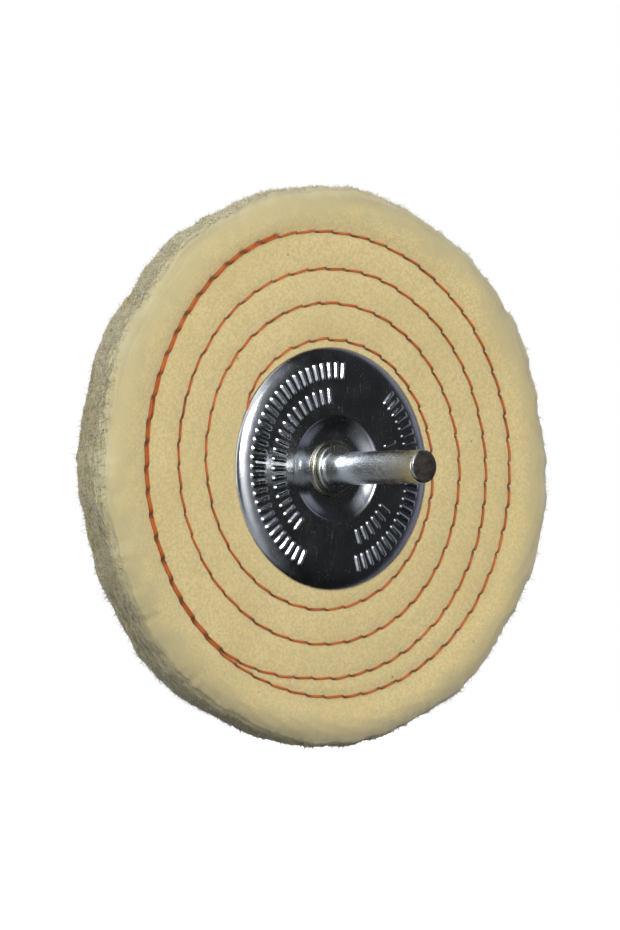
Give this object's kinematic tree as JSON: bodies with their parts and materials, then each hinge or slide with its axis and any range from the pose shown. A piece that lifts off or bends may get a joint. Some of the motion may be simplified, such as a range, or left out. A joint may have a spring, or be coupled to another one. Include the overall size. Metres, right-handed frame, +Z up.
{
  "type": "shank-mounted buffing wheel",
  "caption": "Round polishing wheel of spiral-sewn cotton plies, clamped between pressed steel flanges and riveted on a straight round shank for a drill chuck.",
  "frame": {"origin": "centre of the wheel: on the shank's axis, at the middle of the cloth's thickness", "axes": "Y is the spin axis and the shank points to -Y; +Z is up"},
  "size_m": [0.104, 0.0443, 0.104],
  "materials": {
    "muslin": "undyed unbleached cotton muslin, plain weave, frayed at the cut edge",
    "thread": "rust-orange twisted sewing thread",
    "plated_flange": "bright plated pressed steel with fine handling scratches",
    "zinc_washer": "yellow-passivated zinc on steel",
    "shank_steel": "smooth zinc-plated steel, sheared and dark on its end face"
  },
  "bodies": {
    "root": {"shank": "shank_steel", "front_washer": "zinc_washer", "rear_washer": "zinc_washer", "front_flange": "plated_flange", "rear_flange": "plated_flange", "needle_thread": "thread", "bobbin_thread": "thread", "cloth_ply_01": "muslin", "cloth_ply_02": "muslin", "cloth_ply_03": "muslin", "cloth_ply_04": "muslin", "cloth_ply_05": "muslin", "cloth_ply_06": "muslin", "cloth_ply_07": "muslin", "cloth_ply_08": "muslin", "cloth_ply_09": "muslin", "cloth_ply_10": "muslin", "cloth_ply_11": "muslin", "cloth_ply_12": "muslin", "cloth_ply_13": "muslin", "cloth_ply_14": "muslin", "cloth_ply_15": "muslin", "cloth_ply_16": "muslin", "cloth_ply_17": "muslin", "cloth_ply_18": "muslin", "cloth_ply_19": "muslin", "cloth_ply_20": "muslin", "cloth_ply_21": "muslin", "cloth_ply_22": "muslin", "cloth_ply_23": "muslin", "cloth_ply_24": "muslin", "cloth_ply_25": "muslin", "cloth_ply_26": "muslin", "cloth_ply_27": "muslin", "cloth_ply_28": "muslin", "cloth_ply_29": "muslin", "cloth_ply_30": "muslin", "cloth_ply_31": "muslin", "cloth_ply_32": "muslin", "cloth_ply_33": "muslin", "cloth_ply_34": "muslin", "cloth_ply_35": "muslin", "cloth_ply_36": "muslin", "cloth_ply_37": "muslin", "cloth_ply_38": "muslin", "cloth_ply_39": "muslin", "cloth_ply_40": "muslin"}
  },
  "joints": []
}
